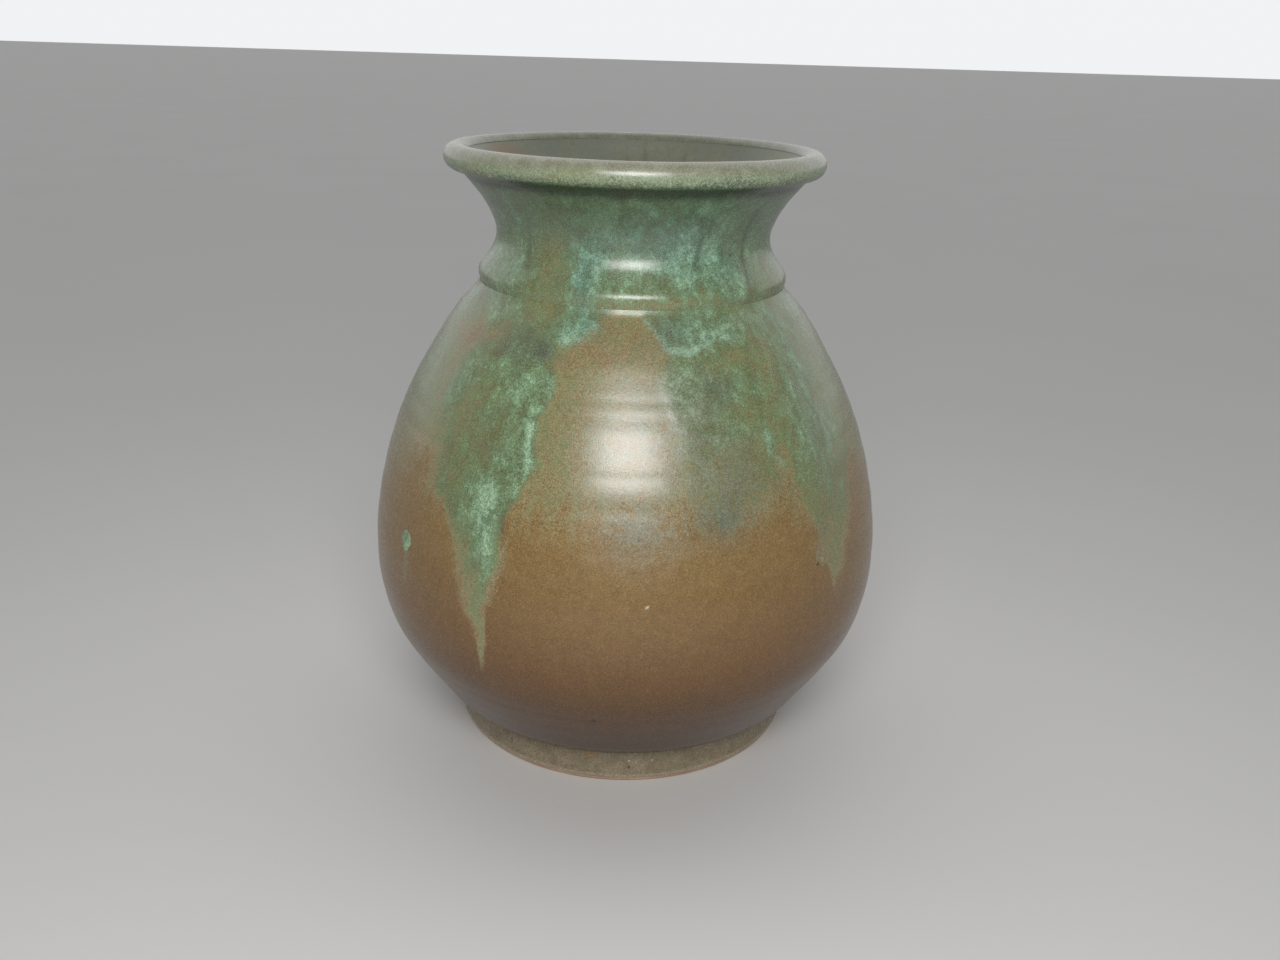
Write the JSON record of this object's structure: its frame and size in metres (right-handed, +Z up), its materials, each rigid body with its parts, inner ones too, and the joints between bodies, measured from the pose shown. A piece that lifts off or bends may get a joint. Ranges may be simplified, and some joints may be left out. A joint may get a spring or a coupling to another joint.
{
  "type": "vase",
  "caption": "Round-bellied stoneware vase on a turned foot, with a waisted neck collar, a rolled rim and a poured green glaze that runs over a brown base glaze.",
  "frame": {"origin": "on the axis of the vase, in the plane that the foot stands on", "axes": "+Z up along the axis the vase was thrown about; -Y is the side that the longest run and the drop are seen from"},
  "size_m": [0.209, 0.209, 0.24],
  "materials": {
    "bare_clay": "matt unglazed stoneware, buff",
    "brown_glaze": "satin brown-olive glaze with fine speckle",
    "copper_green_glaze": "satin mottled copper green glaze",
    "liner_glaze": "satin grey-green glaze"
  },
  "bodies": {
    "root": {"foot_ring": "bare_clay", "thrown_body": "bare_clay", "neck_collar": "bare_clay", "base_glaze": "brown_glaze", "green_glaze": "copper_green_glaze", "liner_glaze": "liner_glaze", "glaze_runs": "copper_green_glaze", "glaze_drop": "copper_green_glaze"}
  },
  "joints": []
}
